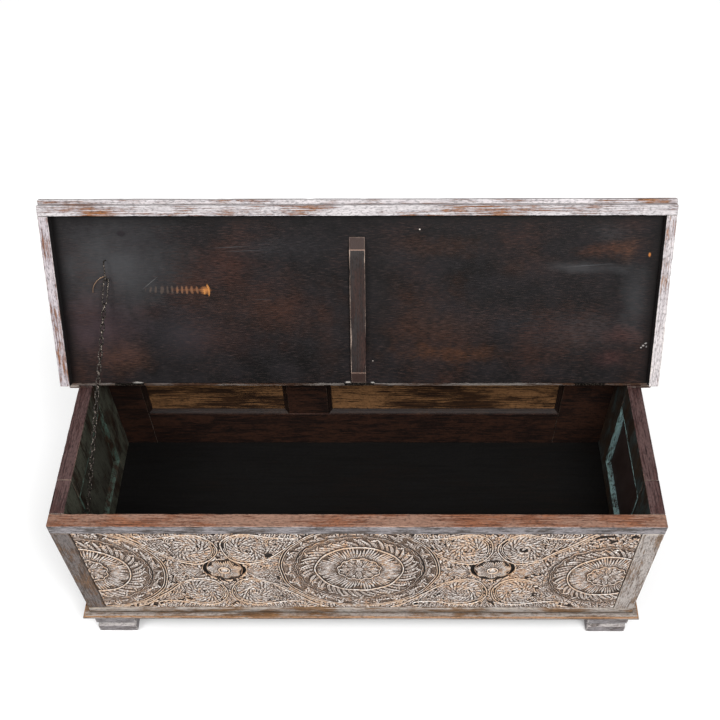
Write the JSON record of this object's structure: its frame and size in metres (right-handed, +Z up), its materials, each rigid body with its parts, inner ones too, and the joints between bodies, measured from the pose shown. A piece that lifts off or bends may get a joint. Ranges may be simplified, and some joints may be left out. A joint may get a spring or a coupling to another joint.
{
  "type": "damchiya chest",
  "caption": "Carved wooden storage chest on block feet with a moulded plinth, a hinged front lid held open by a chain, and a fixed rear top board.",
  "frame": {"origin": "on the floor, under the middle of the chest's box with its lid open", "axes": "+Z up, -Y towards the carved front, +X to the chest's right seen from the front"},
  "size_m": [1.514, 0.6654, 1.0016],
  "materials": {
    "carved_front": "carved hardwood, limed whitewash over brown with dark recesses",
    "front_frame": "worn grey-brown paint, waxed",
    "end_frames": "brown hardwood with worn turquoise paint",
    "end_panels": "dark maroon paint, worn",
    "back_frame": "red-brown hardwood, worn",
    "back_panels": "golden brown waxed hardwood",
    "floor_boards": "dark, dusty",
    "plinth": "grey-brown wash over brown moulding",
    "feet": "grey whitewash",
    "rear_top": "worn brown paint",
    "lid_boards": "near-black paint with reddish wear",
    "lid_rails": "grey-lilac whitewash with rusty patches",
    "lid_batten": "dark painted, rubbed edges",
    "hinge_iron": "blackened wrought iron",
    "screw_iron": "dull steel",
    "chain_iron": "rust-brown forged wire links",
    "staple_iron": "rubbed forged wire"
  },
  "bodies": {
    "chest": {"back_bottom_rail": "back_frame", "back_left_panel": "back_panels", "back_left_stile": "back_frame", "back_middle_stile": "back_frame", "back_right_panel": "back_panels", "back_right_stile": "back_frame", "back_top_rail": "back_frame", "chest_staple": "staple_iron", "floor_back_bearer": "floor_boards", "floor_back_board": "floor_boards", "floor_front_bearer": "floor_boards", "floor_front_board": "floor_boards", "foot_back_left": "feet", "foot_back_right": "feet", "foot_front_left": "feet", "foot_front_right": "feet", "front_board": "carved_front", "front_bottom_rail": "front_frame", "front_left_post": "front_frame", "front_right_post": "front_frame", "front_top_rail": "front_frame", "hinge_pins": "hinge_iron", "hinge_screws_chest": "screw_iron", "left_end_back_stile": "end_frames", "left_end_bottom_rail": "end_frames", "left_end_front_stile": "end_frames", "left_end_panel": "end_panels", "left_end_top_rail": "end_frames", "left_hinge_chest_leaf": "hinge_iron", "left_top_moulding": "rear_top", "middle_hinge_chest_leaf": "hinge_iron", "plinth_back": "plinth", "plinth_front": "plinth", "plinth_left": "plinth", "plinth_right": "plinth", "rear_top_board": "rear_top", "right_end_back_stile": "end_frames", "right_end_bottom_rail": "end_frames", "right_end_front_stile": "end_frames", "right_end_panel": "end_panels", "right_end_top_rail": "end_frames", "right_hinge_chest_leaf": "hinge_iron", "right_top_moulding": "rear_top"},
    "lid": {"lid_front_board": "lid_boards", "lid_back_board": "lid_boards", "lid_front_rail": "lid_rails", "lid_left_rail": "lid_rails", "lid_right_rail": "lid_rails", "lid_batten": "lid_batten", "lid_staple": "staple_iron", "hinge_screws_lid": "screw_iron", "left_hinge_lid_leaf": "hinge_iron", "middle_hinge_lid_leaf": "hinge_iron", "right_hinge_lid_leaf": "hinge_iron"},
    "chain_run_1": {"chain_run_1": "chain_iron"},
    "chain_run_2": {"chain_run_2": "chain_iron"},
    "chain_run_3": {"chain_run_3": "chain_iron"},
    "chain_run_4": {"chain_run_4": "chain_iron"},
    "chain_long_link": {"chain_long_link": "chain_iron"}
  },
  "joints": [
    {"name": "lid_hinge", "type": "hinge", "parent": "chest", "child": "lid", "pos_m": [0, 0.10433, 0.5833], "axis": [1, 0, 0], "range_deg": [0, 120]},
    {"name": "run_1_fold", "type": "hinge", "parent": "chest", "child": "chain_run_1", "pos_m": [-0.679, -0.20567, 0.426], "axis": [1, 0, 0], "range_deg": [-52.1, 0]},
    {"name": "run_2_fold", "type": "hinge", "parent": "chain_run_1", "child": "chain_run_2", "pos_m": [-0.66361, -0.11146, 0.51797], "axis": [1, 0, 0], "range_deg": [0, 121.1]},
    {"name": "run_3_fold", "type": "hinge", "parent": "chain_run_2", "child": "chain_run_3", "pos_m": [-0.64822, -0.01724, 0.60994], "axis": [1, 0, 0], "range_deg": [0, 122]},
    {"name": "run_4_fold", "type": "hinge", "parent": "chain_run_3", "child": "chain_run_4", "pos_m": [-0.63282, 0.07697, 0.70191], "axis": [1, 0, 0], "range_deg": [-121, 0]},
    {"name": "long_link_fold", "type": "hinge", "parent": "chain_run_4", "child": "chain_long_link", "pos_m": [-0.61743, 0.17119, 0.79388], "axis": [1, 0, 0], "range_deg": [-99.2, 0]}
  ],
  "couplings": [
    {"joint": "run_1_fold", "follows": "lid_hinge", "ratio": -0.4326},
    {"joint": "run_2_fold", "follows": "lid_hinge", "ratio": 1.0078},
    {"joint": "run_3_fold", "follows": "lid_hinge", "ratio": 1.0155},
    {"joint": "run_4_fold", "follows": "lid_hinge", "ratio": -1.0075},
    {"joint": "long_link_fold", "follows": "lid_hinge", "ratio": -0.8254}
  ]
}
